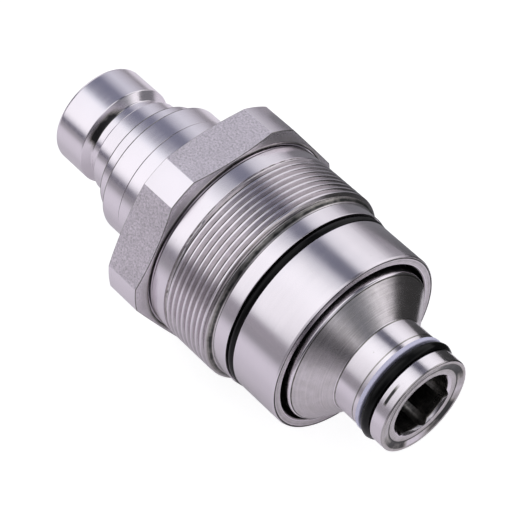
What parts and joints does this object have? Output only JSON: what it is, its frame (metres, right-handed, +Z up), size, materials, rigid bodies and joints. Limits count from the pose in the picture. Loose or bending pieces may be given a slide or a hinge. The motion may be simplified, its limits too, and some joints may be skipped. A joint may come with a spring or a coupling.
{
  "type": "hydraulic quick coupler",
  "caption": "Male flat-face hydraulic quick coupler: threaded hex housing with a sprung sliding nipple, flat valve nose and sealed rear nozzle with a hex socket.",
  "frame": {"origin": "on the coupler's axis, in the plane where the hexagon seats on its block", "axes": "+X along the axis to the coupling nose, +Z up out of one hexagon flat"},
  "size_m": [0.1054, 0.0542, 0.05],
  "materials": {
    "housing_steel": "bright plated, flats blasted",
    "nipple_steel": "polished plated",
    "adapter_steel": "fine turned, plated",
    "valve_steel": "ground",
    "ring_steel": "turned",
    "spring_steel": "drawn wire",
    "seal_rubber": "satin",
    "wiper_rubber": "satin",
    "backup_plastic": "turned fluoroplastic"
  },
  "bodies": {
    "housing": {"hex_housing": "housing_steel", "housing_o_ring": "seal_rubber", "wiper_ring": "wiper_rubber", "rod_seal": "seal_rubber", "rod_backup_ring": "backup_plastic", "spring_seat_ring": "ring_steel", "housing_snap_ring": "spring_steel", "return_spring": "spring_steel"},
    "cartridge": {"nipple_body": "nipple_steel", "rear_adapter": "adapter_steel", "joint_o_ring": "seal_rubber", "joint_backup_ring": "backup_plastic", "nozzle_o_ring": "seal_rubber", "nozzle_backup_ring": "backup_plastic", "valve_guide": "ring_steel", "guide_snap_ring": "spring_steel", "poppet_spring": "spring_steel"},
    "valve": {"poppet": "valve_steel", "poppet_seal": "seal_rubber", "poppet_backup_ring": "backup_plastic"}
  },
  "joints": [
    {"name": "cartridge_slide", "type": "slide", "parent": "housing", "child": "cartridge", "axis": [-1, 0, 0], "range_m": [0, 0.004], "stiffness_N_per_m": 15000, "springref_m": -0.003, "deforming": ["return_spring"]},
    {"name": "valve_slide", "type": "slide", "parent": "cartridge", "child": "valve", "axis": [-1, 0, 0], "range_m": [0, 0.009], "stiffness_N_per_m": 2500, "springref_m": -0.006, "deforming": ["poppet_spring"]}
  ]
}
